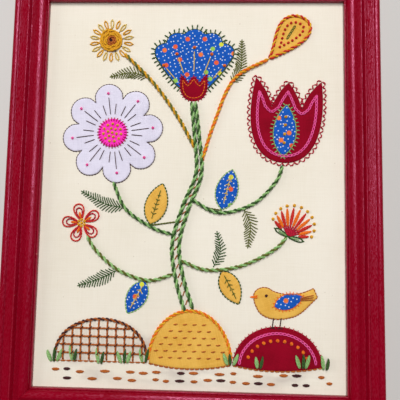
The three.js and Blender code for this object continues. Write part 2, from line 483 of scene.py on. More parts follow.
def ground_cotton():
    """Cream cotton with slubs and flecks, and soft grey shading printed on the ground line."""
    material, tree = new_material("cream cotton")
    place = body_place(tree)
    weave = from_group(tree, WOVEN_THREADS, {"Place": place, "Pitch": 0.62})
    clouds = cloudy(tree, place, 0.012)
    # The weave's height adds a little painted shade to the tone, darker between the threads.
    tone = weighted(tree, -0.05, (clouds, 0.6), (weave["Slub"], 0.5), (weave["Height"], 0.1))
    cloth = blend_colours(tree, spread(tree, tone, 0.1, 1.0), (224, 215, 197), (240, 234, 222))
    flecks = spread(tree, cloudy(tree, place, 0.33, 2.0, 0.4), 0.745, 0.79, 0.0, 0.4)
    cloth = blend_colours(tree, flecks, cloth, (150, 124, 92))
    axes = node(tree, "ShaderNodeSeparateXYZ", {0: place}).outputs
    low_band = spread(tree, axes["Y"], -112.0, -142.0)
    low_edge = spread(tree, axes["Y"], -172.0, -160.0, 0.25, 1.0)
    sides = spread(tree, maths(tree, "ABSOLUTE", axes["X"]), 126.0, 92.0)
    blotches = spread(tree, cloudy(tree, place, (0.018, 0.05)), 0.4, 0.66)
    print_share = times(tree, low_band, low_edge, sides, blotches, 0.6)
    cloth = blend_colours(tree, print_share, cloth, (178, 166, 160))
    return set_finish(material, cloth, 0.9, bumped(tree, weave["Height"], 0.35, 0.12), sheen=0.08)


def patch_cotton(name, dark, light, pitch=0.5):
    """Plain-woven cotton of one dye, a little uneven."""
    material, tree = new_material(name)
    place = mapped(tree, "Cut")
    weave = from_group(tree, WOVEN_THREADS, {"Place": place, "Pitch": pitch})
    clouds = cloudy(tree, place, 0.05)
    # The weave's height adds a little painted shade to the tone, darker between the threads.
    tone = weighted(tree, -0.15, (clouds, 0.6), (weave["Slub"], 0.7), (weave["Height"], 0.15))
    cloth = blend_colours(tree, spread(tree, tone, 0.25, 0.85), dark, light)
    return set_finish(material, cloth, 0.85, bumped(tree, weave["Height"], 0.4, 0.12), 0.1)


def dotted_calico():
    """Royal blue cotton with white pin dots and sparse larger dots in bright colours."""
    material, tree = new_material("dotted blue calico")
    place = mapped(tree, "Cut")
    weave = from_group(tree, WOVEN_THREADS, {"Place": place, "Pitch": 0.5})
    # The weave's height adds a little painted shade to the tone, darker between the threads.
    tone = weighted(tree, 0.0, (weave["Height"], 0.15), (weave["Slub"], 0.9))
    cloth = blend_colours(tree, spread(tree, tone, 0.25, 0.85), (10, 62, 150), (26, 95, 195))
    pins = from_group(tree, SCATTERED_DOTS, {"Place": place, "Cell": 3.9, "Radius": 0.55})
    cloth = blend_colours(tree, pins["Dot"], cloth, (214, 224, 238))
    spots = from_group(tree, SCATTERED_DOTS, {"Place": place, "Cell": 14.0, "Radius": 2.1})
    palette = ((214, 216, 66), (226, 96, 52), (150, 196, 84), (232, 120, 60))
    colours = node(tree, "ShaderNodeValToRGB", {0: spots["Pick"]})
    colours.color_ramp.interpolation = "CONSTANT"
    stops = colours.color_ramp.elements
    while len(stops) < len(palette):
        stops.new(1.0)
    for i, colour in enumerate(palette):
        stops[i].position = i / len(palette)
        stops[i].color = linear(*colour)
    cloth = blend_colours(tree, spots["Dot"], cloth, colours.outputs["Color"])
    return set_finish(material, cloth, 0.8, bumped(tree, weave["Height"], 0.4, 0.12), 0.12)


def pressed_felt():
    """Bright pink felt with short tangled fibres."""
    material, tree = new_material("pink felt")
    place = mapped(tree, "Cut")
    tangle = cloudy(tree, place, 1.6, 5.0, 0.75)
    tone = weighted(tree, 0.0, (tangle, 0.6), (cloudy(tree, place, 0.2, 2.0), 0.4))
    felt = blend_colours(tree, spread(tree, tone, 0.3, 0.7), (238, 26, 172), (255, 76, 206))
    return set_finish(material, felt, 0.95, bumped(tree, tangle, 0.6, 0.35), 0.05, 0.1)


def wool_yarn(name, dark, light):
    """Plied wool in one dye."""
    material, tree = new_material(name)
    wool = from_group(tree, PLIED_WOOL)
    dye = blend_colours(tree, wool["Tone"], dark, light)
    return set_finish(material, dye, 0.62, bumped(tree, wool["Height"], 0.85, 0.28), 0.25, 0.06)


def pale_floor():
    """A plain pale ground, a little uneven in tone."""
    material, tree = new_material("pale floor")
    clouds = cloudy(tree, node(tree, "ShaderNodeTexCoord").outputs["Object"], 3.0)
    return set_finish(material, blend_colours(tree, clouds, (198, 196, 194), (208, 206, 204)), 0.75)


# Frame rails

# The moulding's face from the outer side to the sight edge: where each part ends, across the rail and
# above the frame's back, and the point that a curved part bends towards.
MOULDING = (
    ("outer side", (0, 12.5), None),
    ("outer bead rise", (3.7, 17.8), (0.3, 17.7)),
    ("outer bead fall", (6.6, 16.6), (5.6, 17.8)),
    ("outer flat", (13.4, 16.6), None),
    ("ridge face", (13.8, 17.4), None),
    ("ridge top", (15.2, 17.1), (14.5, 18.1)),
    ("ridge fall", (16.3, 14.4), None),
    ("scoop", (20.6, 15.3), (18.6, 14.3)),
    ("inner bead rise", (24, 17), (22.4, 16.8)),
    ("inner bead fall", (29.5, 13.4), (28.8, 16.5)),
    ("quirk", (29.9, 12.5), None),
    ("lip rise", (30.2, 13.1), None),
    ("lip round", (FACE, 12.3), (30.95, 13.3)),
)
RABBET = (24.5, 9.0)  # across the rail to the rabbet's wall, and up to the lip's underside
CURVE_SHARES = np.arange(1, 10) / 9
ARRIS_TURN = 22  # a turn of the section of this many degrees or more is an edge
ARRIS_RADIUS = 0.45  # rounding that paint and wear give an edge
JOINT_CUT = 0.1  # each rail stops this far short of the mitre
PAINT_EDGE = 1.3  # the paint ends this far above the frame's back
RAIL_STATIONS = 110
WOBBLE = 0.07  # unevenness of the painted face
GRAIN_APART = 500  # spacing of the four rails on the map of their grain


def moulding_section():
    """Closed section of a rail as points across and up, with softened edges, and each point's bareness."""
    points = [(0.0, 0.0), (0.0, PAINT_EDGE)]
    for _, end, towards in MOULDING:
        points += [end] if towards is None else bent(points[-1], towards, end, CURVE_SHARES)
    painted = len(points)
    points = np.array(points + [(FACE, RABBET[1]), RABBET, (RABBET[0], 0.0)])
    edges = np.degrees(np.abs(turns_at(points))) >= ARRIS_TURN
    section, bare = [], []
    for i, here in enumerate(points):
        corner = [here]
        if edges[i]:
            ways = (points[i - 1] - here, points[(i + 1) % len(points)] - here)
            first, last = (here + way * min(ARRIS_RADIUS / np.linalg.norm(way), 0.45) for way in ways)
            corner = bent(first, here, last, (0, 0.25, 0.5, 0.75, 1))
        section += corner
        bare += [float(i == 0 or i > painted)] * len(corner)
    return np.array(section), np.array(bare)


def section_ridges(section):
    """How sharply each point of the section stands out (above 0) or lies in a hollow (below 0)."""
    step = np.linalg.norm(np.roll(section, -1, axis=0) - section, axis=1)
    reach = (np.roll(step, 1) + step) / 2
    sharp = -turns_at(section) / np.maximum(reach, 0.12)
    eased = (np.roll(sharp, 1) + 2 * sharp + np.roll(sharp, -1)) / 4
    return np.clip(eased * 0.8, -1, 1)


def make_rail(node_name, length, offset, quarter_turns, material):
    """One mitred rail: the section drawn along its length, cut at 45 degrees at both ends."""
    section, bare = moulding_section()
    count = len(section)
    half = length / 2 - section[:, 0] - JOINT_CUT
    along = np.linspace(-1, 1, RAIL_STATIONS)[:, None] * half
    across, up, run = (
        np.broadcast_to(values, along.shape) for values in (*section.T, run_along(section))
    )
    uneven = ripple(along, across * 3, 26, quarter_turns)
    uneven = uneven + 0.45 * ripple(along, across * 2, 6, quarter_turns + 9)
    x, y = turned((along, across - offset), 90 * quarter_turns)
    points = np.stack([x, y, up + WOBBLE * uneven * smooth_rise(up, 3, 11)], axis=2)
    last = (RAIL_STATIONS - 1) * count
    ends = [tuple(range(count))[::-1], tuple(range(last, last + count))]
    faces = grid_faces(RAIL_STATIONS, count, True) + ends
    name = "painted_" + node_name
    rail = make_piece(name, points.reshape(-1, 3), faces, material, (node_name,), 35)
    grain = np.stack([along + GRAIN_APART * quarter_turns, run], axis=2)
    set_point_map(rail.data, "Grain", grain.reshape(-1, 2))
    set_point_value(rail.data, "ridge", np.tile(section_ridges(section), RAIL_STATIONS))
    set_point_value(rail.data, "bare", np.tile(bare, RAIL_STATIONS))
    face_outward(rail)


def make_frame():
    """The four rails, from the bottom one round to the left."""
    paint = painted_wood()
    for quarter_turns, name in enumerate(("rail_bottom", "rail_right", "rail_top", "rail_left")):
        half_length, offset = OUTER_HALF[::-1] if quarter_turns % 2 else OUTER_HALF
        make_rail(name, 2 * half_length, offset, quarter_turns, paint)


# Patches

PATCH_STEP = 1.15  # spacing of points along a patch's edge
CORNER_TURN = 34  # a sharper turn than this, in degrees, is a point of the cut and stays sharp
PATCH_RINGS = (0.3, 0.75, 1.4, 2.4, 3.8)  # rows of points inside the edge
INNER_STEP = 2.5  # spacing of points in the middle of a patch
PATCH_THICKNESS = 0.75
PATCH_GAP = 0.04  # a patch's underside lies this far above what it rests on
EDGE_ROUND = 0.9  # the turned-under edge rolls over in this distance
TURNING = 4.5  # width of the folded margin under a patch's edge
TURNING_RISE = 0.22  # extra height over that margin
FULLNESS = 0.3  # rise of a patch's middle
HEM_PITCH = 5.0  # spacing of the small stitches that hold a patch down
HEM_DRAW = 0.24  # how far they draw its edge down
GATHERS = 0.17  # height of the waves along the edge
CREASES, FOLDS = 0.24, 0.45  # heights of the short and the long waves inside it
BRIDGE = 2.0  # a cloth bridges steps in what is under it over this distance
CUT_APART = 13.7  # spacing of the patches on the map of their cloths
ABOVE_ALL = 100.0  # heights are measured by rays that start this high

# Each patch's cloth and the turn of its grain in degrees
PATCHES = {
    "hillock_gold": ("gold_cotton", 12),
    "hillock_red": ("red_cotton", -20),
    "tulip": ("red_cotton", 8),
    "daisy": ("white_cotton", 5),
    "carnation": ("blue_calico", 25),
    "paisley": ("gold_cotton", -30),
    "leaf_left": ("gold_cotton", 40),
    "leaf_right": ("blue_calico", -15),
    "leaf_low_left": ("blue_calico", 60),
    "leaf_low_right": ("gold_cotton", -50),
    "bird": ("gold_cotton", 18),
    "tulip_heart": ("blue_calico", -40),
    "daisy_eye": ("pink_felt", 0),
    "carnation_cup": ("red_cotton", 30),
    "bird_wing": ("blue_calico", 75),
}
# Patches that lie on another patch. The rest lie on the ground cloth.
ON_PATCHES = {
    "tulip_heart": "patch_tulip",
    "daisy_eye": "patch_daisy",
    "carnation_cup": "patch_carnation",
    "bird_wing": "patch_bird",
}


def cad_outline(name):
    """Outline of the top face of a patch's CAD part, counter-clockwise from its lowest point."""
    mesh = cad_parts[name].data
    places = [tuple(round(c / MM, 3) for c in vertex.co) for vertex in mesh.vertices]
    top = max(z for _, _, z in places)
    sides = set()
    for polygon in mesh.polygons:
        corners = [places[i] for i in polygon.vertices]
        if min(z for _, _, z in corners) > top - 0.01:
            sides.update(zip(corners, corners[1:] + corners[:1]))
    following = {a: b for a, b in sides if (b, a) not in sides}
    lowest = min(following, key=lambda place: (place[1], place[0]))
    outline = [lowest]
    while following[outline[-1]] != lowest:
        outline.append(following[outline[-1]])
    return np.array(outline)[:, :2]


def smooth_outline(points):
    """The outline in even steps, rounded between its sharp corners."""
    sharp = np.degrees(np.abs(turns_at(points))) > CORNER_TURN
    corners = [int(i) for i in np.flatnonzero(sharp)] or [0]
    count = len(points)
    runs = []
    for a, b in zip(corners, corners[1:] + [corners[0] + count]):
        run = points[[i % count for i in range(a, b + 1)]]
        runs.append(through(run, PATCH_STEP)[:-1])
    return np.vstack(runs)


def edge_distance(places, outline):
    """Distance from each place to the outline, and how far round the outline its nearest point lies."""
    side = np.roll(outline, -1, axis=0) - outline
    length = np.linalg.norm(side, axis=1)
    away = places[:, None, :] - outline[None, :, :]
    share = np.clip((away * side).sum(2) / length ** 2, 0, 1)
    gap = np.linalg.norm(away - share[..., None] * side, axis=2)
    rows = np.arange(len(places))
    nearest = gap.argmin(1)
    run = np.concatenate([[0], np.cumsum(length)[:-1]])
    return gap[rows, nearest], run[nearest] + share[rows, nearest] * length[nearest]


def inside(places, outline):
    """Which places lie inside a closed outline."""
    x, y = places[:, :1], places[:, 1:]
    x0, y0 = outline.T
    x1, y1 = np.roll(outline, -1, axis=0).T
    rise = np.where(y1 == y0, 1e-9, y1 - y0)
    crossed = ((y0 > y) != (y1 > y)) & (x < x0 + (y - y0) * (x1 - x0) / rise)
    return crossed.sum(1) % 2 == 1


def inset(outline, depth):
    """A closed line inside a cut, that far from its edge, with its tight places left out."""
    moved = outline + inward_of(outline) * depth
    return moved[edge_distance(moved, outline)[0] > 0.9 * depth]


def patch_mesh_plan(outline):
    """Points and triangles over the cut: close together near its edge, wider apart in its middle."""
    inward = inward_of(outline)
    groups = [outline]
    for ring in PATCH_RINGS:
        moved = outline + inward * ring
        keep = inside(moved, outline) & (edge_distance(moved, outline)[0] > 0.93 * ring)
        thin = np.arange(len(moved)) % (1 if ring < 1 else 2) == 0
        groups.append(moved[keep & thin])
    low, high = outline.min(0), outline.max(0)
    columns = np.arange(low[0], high[0], INNER_STEP)
    rows = np.arange(low[1], high[1], INNER_STEP * 0.866)
    grid = np.array([(x + (j % 2) * INNER_STEP / 2, y) for j, y in enumerate(rows) for x in columns])
    deep = edge_distance(grid, outline)[0] > PATCH_RINGS[-1] + 0.6 * INNER_STEP
    groups.append(grid[inside(grid, outline) & deep])
    places = [Vector(place) for place in np.vstack(groups)]
    made = delaunay_2d_cdt(places, [], [list(range(len(outline)))], 1, 1e-5)
    return np.array([tuple(place) for place in made[0]]), [tuple(face) for face in made[2]]


def heights_over(pieces):
    """A function that gives the height of the given pieces, seen from above, at places on the picture."""
    points, polygons = [], []
    for piece in pieces:
        start = len(points)
        points.extend(vertex.co.copy() for vertex in piece.data.vertices)
        polygons.extend([start + i for i in polygon.vertices] for polygon in piece.data.polygons)
    tree = BVHTree.FromPolygons(points, polygons)
    down = Vector((0, 0, -1))

    def height(x, y):
        hit = tree.ray_cast(Vector((x * MM, y * MM, ABOVE_ALL * MM)), down)[0]
        return hit.z / MM if hit else CLOTH_FACE

    return lambda places: np.array([height(x, y) for x, y in places])


def draped_base(places, heights):
    """Height of the underside of a cloth laid over what is there: it bridges small steps."""
    around = [(BRIDGE, 0), (-BRIDGE, 0), (0, BRIDGE), (0, -BRIDGE)]
    mean = sum(heights(places + np.array(step)) for step in around) / len(around)
    return np.maximum(heights(places), mean)


def make_patch(name, outline, material, heights):
    """A sewn patch: its edge turned under and drawn down at each hem stitch, its middle a little full."""
    slot, grain_turn = PATCHES[name]
    places, triangles = patch_mesh_plan(outline)
    x, y = places.T
    gap, run = edge_distance(places, outline)
    seed = len(name) + 3 * ord(name[0])
    under = draped_base(places, heights) + PATCH_GAP
    roll = np.sqrt(np.clip(1 - (1 - np.minimum(gap / EDGE_ROUND, 1)) ** 2, 0, 1))
    body = PATCH_THICKNESS + FULLNESS * smooth_rise(gap, 1, 14)
    body += TURNING_RISE * (1 - smooth_rise(gap, TURNING - 1.2, TURNING + 0.8))
    body -= HEM_DRAW * np.exp(-gap / 2) * (0.5 + 0.5 * np.cos(2 * math.pi * run / HEM_PITCH))
    body += GATHERS * np.exp(-gap / 6) * ripple(run, gap * 0.25, 6.5, seed + 2)
    creases = CREASES * ripple(x, y * 0.6, 9, seed) * smooth_rise(gap, 0.5, 6)
    folds = FOLDS * ripple(x + y, y * 0.3, 22, seed + 1) * smooth_rise(gap, 1, 12)
    top = under + 0.02 + np.maximum(roll * body + creases + folds, 0.3 * roll)
    rim = gap < 1e-3
    top[rim] = under[rim] + 0.12
    count = len(places)
    below = np.where(rim, np.arange(count), count + np.cumsum(~rim) - 1)
    points = np.vstack([np.column_stack([places, top]), np.column_stack([places, under])[~rim]])
    faces = triangles + [tuple(int(below[i]) for i in face[::-1]) for face in triangles]
    patch = make_piece("cloth_" + name, points, faces, material, ("patch_" + name,), 60)
    set_point_map(patch.data, "Cut", turned(points[:, :2].T, -grain_turn).T + seed * CUT_APART)
    face_outward(patch)
    return patch


# Ground cloth

CLOTH_STEP = 2.4  # spacing of points on the cloth's face
CLOTH_GAUGE = 0.5  # thickness of the cloth
BACK_MARGIN = 22.0  # cloth turned to the back of the board
PUCKER = 0.16  # drawing-up of the cloth along the sewn edges


def make_ground_cloth(material, outlines):
    """The stretched cloth: its face, drawn up a little along the sewing, its sides and its margins."""
    half_x, half_y = CLOTH_HIGH[:2]
    columns, rows = (
        np.linspace(-half, half, round(2 * half / CLOTH_STEP) + 1) for half in (half_x, half_y)
    )
    x, y = (axis.ravel() for axis in np.meshgrid(columns, rows))
    places = np.column_stack([x, y])
    gap = np.min([edge_distance(places, outline[::2])[0] for outline in outlines], axis=0)
    slack = 0.1 * ripple(x, y, 60, 1) + 0.05 * ripple(x * 0.4, y * 1.6, 18, 2)
    drawn = PUCKER * np.exp(-gap / 7) * ripple(x, y, 5.5, 3)
    free = smooth_rise(half_x - np.abs(x), 6, 14) * smooth_rise(half_y - np.abs(y), 6, 14)
    points = [np.column_stack([x, y, CLOTH_FACE - 0.05 + np.minimum((slack + drawn) * free, 0.2)])]
    order = np.arange(len(x)).reshape(len(rows), len(columns))
    faces = grid_faces(*order.shape)
    border = np.concatenate([order[0], order[1:, -1], order[-1, -2::-1], order[-2:0:-1, 0]])
    edge_x, edge_y = x[border], y[border]
    back = BOARD_LOW[2] - CLOTH_GAUGE - 0.15
    from_corner = np.abs((half_x - np.abs(edge_x)) - (half_y - np.abs(edge_y)))
    fraying = 0.6 * ripple(edge_x, edge_y, 3, 5)
    waves = 0.1 * ripple(edge_x, edge_y, 16, 6) - 0.35 * np.exp(-(from_corner / 4) ** 2)
    loops = [border.tolist()]
    for depth, height in (
        (0.0, CLOTH_FACE - 0.8),
        (0.0, (CLOTH_FACE + back) / 2),
        (0.0, back + 0.6),
        (0.7, back),
        (6.0, back),
        (BACK_MARGIN / 2, back),
        (BACK_MARGIN, back),
    ):
        reach = depth + fraying * (depth == BACK_MARGIN)
        ring_x = edge_x * (half_x - reach) / half_x
        ring_y = edge_y * (half_y - reach) / half_y
        points.append(np.column_stack([ring_x, ring_y, height + waves * (depth > 1)]))
        start = len(x) + (len(loops) - 1) * len(border)
        loops.append(list(range(start, start + len(border))))
    for outer, inner in zip(loops, loops[1:]):
        for a, b, c, d in zip(outer, outer[1:] + outer[:1], inner[1:] + inner[:1], inner):
            faces.append((a, d, c, b))
    points = np.vstack(points)
    cloth = make_piece("stretched_cloth", points, faces, material, ("ground_cloth",), 60)
    thicken(cloth, CLOTH_GAUGE)
    return cloth


def thicken(piece, gauge):
    """Gives an open sheet its thickness on the inner side and closes its rim."""
    edit = bmesh.new()
    edit.from_mesh(piece.data)
    edit.normal_update()
    shell = list(edit.faces)
    twin = {vertex: edit.verts.new(vertex.co - vertex.normal * gauge * MM) for vertex in list(edit.verts)}
    rim = [edge for edge in edit.edges if edge.is_boundary]
    for face in shell:
        edit.faces.new([twin[vertex] for vertex in reversed(face.verts)])
    for edge in rim:
        a, b = (loop.vert for loop in (edge.link_loops[0], edge.link_loops[0].link_loop_next))
        edit.faces.new((b, a, twin[a], twin[b]))
    for face in edit.faces:
        face.smooth = True
    edit.to_mesh(piece.data)
    edit.free()


# Yarn

SIDES = 8
PLY_LOBE = 0.2  # how far the two plies stand out of a round strand
CAPS = np.array([(0, 3, 2, 1), (0, 7, 4, 3), (4, 7, 6, 5)])  # faces that close a strand's end


def twist_length(thick):
    """Length of one full turn of a strand's plies."""
    return 0.5 + 3.6 * thick


def fine_steps(path, thick):
    """A flat path in steps short enough to show the strand's twist."""
    return even_steps(path, min(0.9, twist_length(thick) / 7))


class Yarn:
    """All strands of one dye, gathered into one mesh."""

    def __init__(self, name, slot, dark, light):
        self.name = name
        self.slot = slot
        self.material = wool_yarn(name.replace("_", " "), dark, light)
        self.points, self.faces, self.corners, self.shades = [], [], [], []
        self.count = 0

    def lay(self, path, thick):
        """One twisted strand along a path in space, narrower at its ends."""
        path = np.asarray(path, float)
        along = unit(np.gradient(path, axis=0))
        side = unit(np.cross(along, (0.0, 0.0, 1.0)) + (1e-6, 0, 0))
        above = np.cross(side, along)
        run = run_along(path)
        around = np.arange(SIDES + 1) / SIDES
        turns = run / twist_length(thick) + chance.random()
        narrow = np.minimum(1, 0.55 + 0.45 * np.minimum(run, run[-1] - run) / thick)
        lobes = 1 + PLY_LOBE * np.cos(4 * math.pi * (around[None, :-1] - turns[:, None]))
        radius = (thick / 2 * narrow[:, None] * lobes)[..., None]
        angle = 2 * math.pi * around[None, :-1, None]
        ring = np.cos(angle) * side[:, None] + np.sin(angle) * above[:, None]
        self.points.append((path[:, None] + radius * ring).reshape(-1, 3))
        steps, sides = np.meshgrid(np.arange(len(path) - 1), np.arange(SIDES), indexing="ij")
        steps, sides = steps.ravel(), sides.ravel()
        corner_steps = np.stack([steps, steps, steps + 1, steps + 1], axis=1)
        corner_sides = np.stack([sides, sides + 1, sides + 1, sides], axis=1)
        faces = self.count + corner_steps * SIDES + corner_sides % SIDES
        last = self.count + (len(path) - 1) * SIDES
        self.faces.append(np.vstack([faces, self.count + CAPS, last + CAPS[:, ::-1]])[:, ::-1])
        mapped_at = np.stack([around[corner_sides] - turns[corner_steps], run[corner_steps]], axis=2)
        self.corners.append(np.vstack([mapped_at, np.zeros((2 * len(CAPS), 4, 2))])[:, ::-1].reshape(-1, 2))
        self.shades.append(np.full(len(path) * SIDES, chance.random()))
        self.count += len(path) * SIDES

    def gather(self):
        """The mesh of everything laid so far."""
        points, faces = np.vstack(self.points), np.vstack(self.faces).tolist()
        piece = make_piece(self.name, points, faces, self.material, (), 180)
        set_corner_map(piece.data, "Strand", np.vstack(self.corners))
        set_point_value(piece.data, "strand_shade", np.concatenate(self.shades))


# Stitches

STRAND_LIE = 0.42  # height of a laid strand's middle above the cloth, in strand widths
STRAND_DIP = 0.3  # depth of its ends in the cloth, in strand widths
LINE_STEP = 0.5  # spacing of points on a line that is cut into stitches


class Sewing:
    """Stitches that lie on whatever is below them."""

    def __init__(self, heights):
        self.heights = heights

    def couched(self, yarn, path, thick, lift=0.0):
        """One strand laid along the cloth, its ends taken down through it."""
        path = fine_steps(path, thick)
        share = np.linspace(0, 1, len(path))
        ground = self.heights(path)
        ground = np.maximum(ground, ground[0] + share * (ground[-1] - ground[0]))
        run = np.minimum(share, 1 - share) * run_along(path)[-1]
        down = np.exp(-(run / (0.6 * thick)) ** 2)
        height = ground + (lift + STRAND_LIE * thick) * (1 - down) - STRAND_DIP * thick * down
        yarn.lay(np.column_stack([path, height]), thick)

    def straight(self, yarn, start, end, thick, bow=0.0, lift=0.0):
        """A straight stitch, bowed a little to its left when bow is above 0."""
        start, end = np.array([start, end], float)
        t = np.linspace(0, 1, 9)[:, None]
        side = left_of(end - start) / max(np.linalg.norm(end - start), 1e-6)
        self.couched(yarn, start + t * (end - start) + bow * np.sin(math.pi * t) * side, thick, lift)

    def spindle(self, yarn, start, end, thick, width, lift=0.0):
        """A fat stitch: strands side by side between the same two holes."""
        for bow in (-width / 2, width / 2, 0):
            self.straight(yarn, start, end, thick, bow, lift + (0.3 * thick if bow == 0 else 0))

    def back(self, yarn, path, length, thick, gap=0.3):
        """Back stitch: a line of short stitches end to end."""
        path = even_steps(path, LINE_STEP)
        count = max(1, round((len(path) - 1) * LINE_STEP / length))
        marks = [round(mark) for mark in np.linspace(0, len(path) - 1, count + 1)]
        for first, last in zip(marks, marks[1:]):
            piece = path[first:last + 1]
            if len(piece) > 2:
                trim = gap / 2 * (piece[-1] - piece[0]) / max(np.linalg.norm(piece[-1] - piece[0]), 1e-6)
                self.couched(yarn, np.vstack([piece[0] + trim, piece[1:-1], piece[-1] - trim]), thick)

    def rope(self, yarns, path, width, pitch, thick):
        """Strands wound round each other along a line."""
        path = fine_steps(path, thick)
        left = leftward(path)
        ground = self.heights(path)
        run = run_along(path)
        down = np.exp(-(np.minimum(run, run[-1] - run) / thick) ** 2)[:, None]
        for i, yarn in enumerate(yarns):
            phase = 2 * math.pi * (run / pitch + i / len(yarns))
            flat = path + left * ((width - thick) / 2 * np.cos(phase))[:, None] * (1 - down)
            height = ground + thick * (0.75 + 0.36 * np.sin(phase)) - 1.1 * thick * down[:, 0]
            yarn.lay(np.column_stack([flat, height]), thick)

    def loop(self, yarn, start, end, width, thick):
        """A closed loop from start round a tip and back."""
        along = end - start
        side = left_of(along) / np.linalg.norm(along)
        t = np.linspace(0, 2 * math.pi, 29)[:, None]
        reach = 0.5 - 0.5 * np.cos(t)
        bulge = width / 2 * np.sin(t) * (0.45 + 0.55 * reach)
        self.couched(yarn, start + along * reach + side * bulge, thick)

    def lazy_daisy(self, yarn, start, end, width, thick, inner=None):
        """A loop tied down at its tip, with one stitch inside it if a yarn is given."""
        self.loop(yarn, start, end, width, thick)
        tie = thick * (end - start) / np.linalg.norm(end - start)
        self.straight(yarn, end - 0.5 * tie, end + 1.3 * tie, 0.8 * thick, 0, 0.5 * thick)
        if inner is not None:
            self.straight(inner, start + 0.12 * (end - start), start + 0.78 * (end - start), thick)

    def chain(self, yarn, path, link, width, thick):
        """Chain stitch: loops that start inside one another."""
        marks = even_steps(path, link)
        for a, b in zip(marks, marks[1:]):
            self.loop(yarn, a, b + 0.22 * (b - a), width, thick)

    def knot(self, yarn, place, size, thick):
        """A small coiled knot."""
        turn = np.linspace(0, 4.4 * math.pi, 30)
        share = turn / turn[-1]
        reach = (size - thick) / 2 * (1 - 0.75 * smooth_rise(share, 0.45, 1.0))
        turn = turn + chance.random() * 6.28
        rise = 0.3 + 0.95 * smooth_rise(share, 0.3, 0.95) - (share > 0.97)
        height = float(self.heights([place])[0]) + thick * rise
        coil = np.column_stack([np.cos(turn), np.sin(turn)]) * reach[:, None]
        yarn.lay(np.column_stack([place + coil, height]), thick)

    def knot_rings(self, yarn, centre, rings, size, thick, twist=0):
        """Knots in rings round a centre: how far out each ring lies, and how many knots it has."""
        for reach, count in rings:
            for i in range(count):
                self.knot(yarn, *ray(centre, 360 * i / count + reach * twist, reach), size, thick)

    def blanket(self, yarn, path, pitch, leg, thick):
        """Blanket stitch: a bar along the path and legs to the right of it, closer together on bends."""
        self.back(yarn, path, pitch, thick, 0.0)
        right = -leftward(path)
        # The direction counts twice in a step's length, so bends have more legs.
        for mark in even_steps(np.hstack([path, right, right]), pitch):
            reach = leg * chance.uniform(0.85, 1.12)
            self.straight(yarn, mark[:2], mark[:2] + reach * mark[2:4], thick)

    def legs(self, yarn, path, pitch, inner, outer, thick):
        """Short stitches across a path, from inner on its left to outer on its right."""
        for mark in even_steps(np.hstack([path, leftward(path)]), pitch):
            slip = chance.uniform(-0.25, 0.25) * -left_of(mark[2:])
            self.straight(yarn, mark[:2] + inner * mark[2:] + slip, mark[:2] - outer * mark[2:], thick)

    def scallop(self, yarn, path, pitch, depth, thick):
        """A line of small arches to the right of the path."""
        path = even_steps(path, LINE_STEP)
        run = np.arange(len(path)) * LINE_STEP
        count = max(1, round(run[-1] / pitch))
        arch = np.abs(np.sin(math.pi * count * run / run[-1]))
        self.back(yarn, path - leftward(path) * (depth * arch + 0.2)[:, None], run[-1] / count, thick, 0.2)

    def fern(self, yarn, path, reach, pitch, thick):
        """A rib with slanted pairs of stitches that shorten towards the tip."""
        self.back(yarn, path, pitch * 1.6, thick)
        ribs = even_steps(np.hstack([path, leftward(path)]), pitch)
        count = len(ribs)
        for i, mark in enumerate(ribs[1:-1], 1):
            size = reach * min(1, 0.45 + 3 * i / count) * (1.02 - i / count) ** 0.6
            ahead = -left_of(mark[2:])
            for hand in (1, -1):
                way = 0.78 * hand * mark[2:] + 0.62 * ahead
                tip = mark[:2] + size * chance.uniform(0.88, 1.1) * way
                self.straight(yarn, mark[:2], tip, thick, -0.25 * hand)
        before, last = ribs[-2:, :2]
        self.straight(yarn, before, last + 0.4 * (last - before), thick)


# Cloth and patches in place

CLOTHS = {
    "gold_cotton": patch_cotton("mustard cotton", (204, 146, 46), (232, 184, 88)),
    "red_cotton": patch_cotton("dark red cotton", (112, 0, 18), (146, 3, 34)),
    "white_cotton": patch_cotton("white cotton", (200, 196, 216), (226, 222, 241), 0.45),
    "blue_calico": dotted_calico(),
    "pink_felt": pressed_felt(),
}

make_frame()
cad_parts["mount_board"].data.materials.clear()
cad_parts["mount_board"].data.materials.append(card_board())
OUTLINES = {name: smooth_outline(cad_outline("patch_" + name)) for name in PATCHES}
lowest = [name for name in PATCHES if name not in ON_PATCHES]
laid = [make_ground_cloth(ground_cotton(), [OUTLINES[name] for name in lowest])]
for layer in (lowest, ON_PATCHES):
    heights = heights_over(laid)
    for name in layer:
        laid.append(make_patch(name, OUTLINES[name], CLOTHS[PATCHES[name][0]], heights))
sewing = Sewing(heights_over(laid))


# Yarns

DYES = (
    ("yarn_dark_green", "green_yarn", (30, 58, 20), (72, 112, 50)),
    ("yarn_light_green", "green_yarn", (108, 158, 84), (176, 216, 146)),
    ("yarn_olive", "green_yarn", (66, 72, 16), (124, 130, 48)),
    ("yarn_rust", "brown_yarn", (146, 68, 14), (206, 116, 44)),
    ("yarn_dark_brown", "brown_yarn", (38, 10, 16), (86, 36, 36)),
    ("yarn_scarlet", "red_yarn", (176, 16, 22), (234, 62, 46)),
    ("yarn_crimson", "red_yarn", (140, 0, 30), (214, 20, 62)),
    ("yarn_orange", "orange_yarn", (224, 84, 4), (252, 140, 30)),
    ("yarn_yellow", "orange_yarn", (204, 138, 10), (246, 190, 44)),
    ("yarn_straw", "orange_yarn", (198, 160, 60), (240, 212, 122)),
    ("yarn_pink", "pink_yarn", (228, 48, 134), (255, 122, 192)),
)
YARNS = [Yarn(*dye) for dye in DYES]
dark_green, light_green, olive, rust, dark_brown, scarlet, crimson, orange, yellow, straw, pink = YARNS


# Stems, leaves and grass

TRUNK = through([(0, -106), (-9, -78), (-13, -48), (-5, -16), (6, 14), (4, 46), (0, 80)])


def edge_line(name, out):
    """The closed line that far outside a patch's edge."""
    outline = OUTLINES[name]
    return closed(outline - out * inward_of(outline))


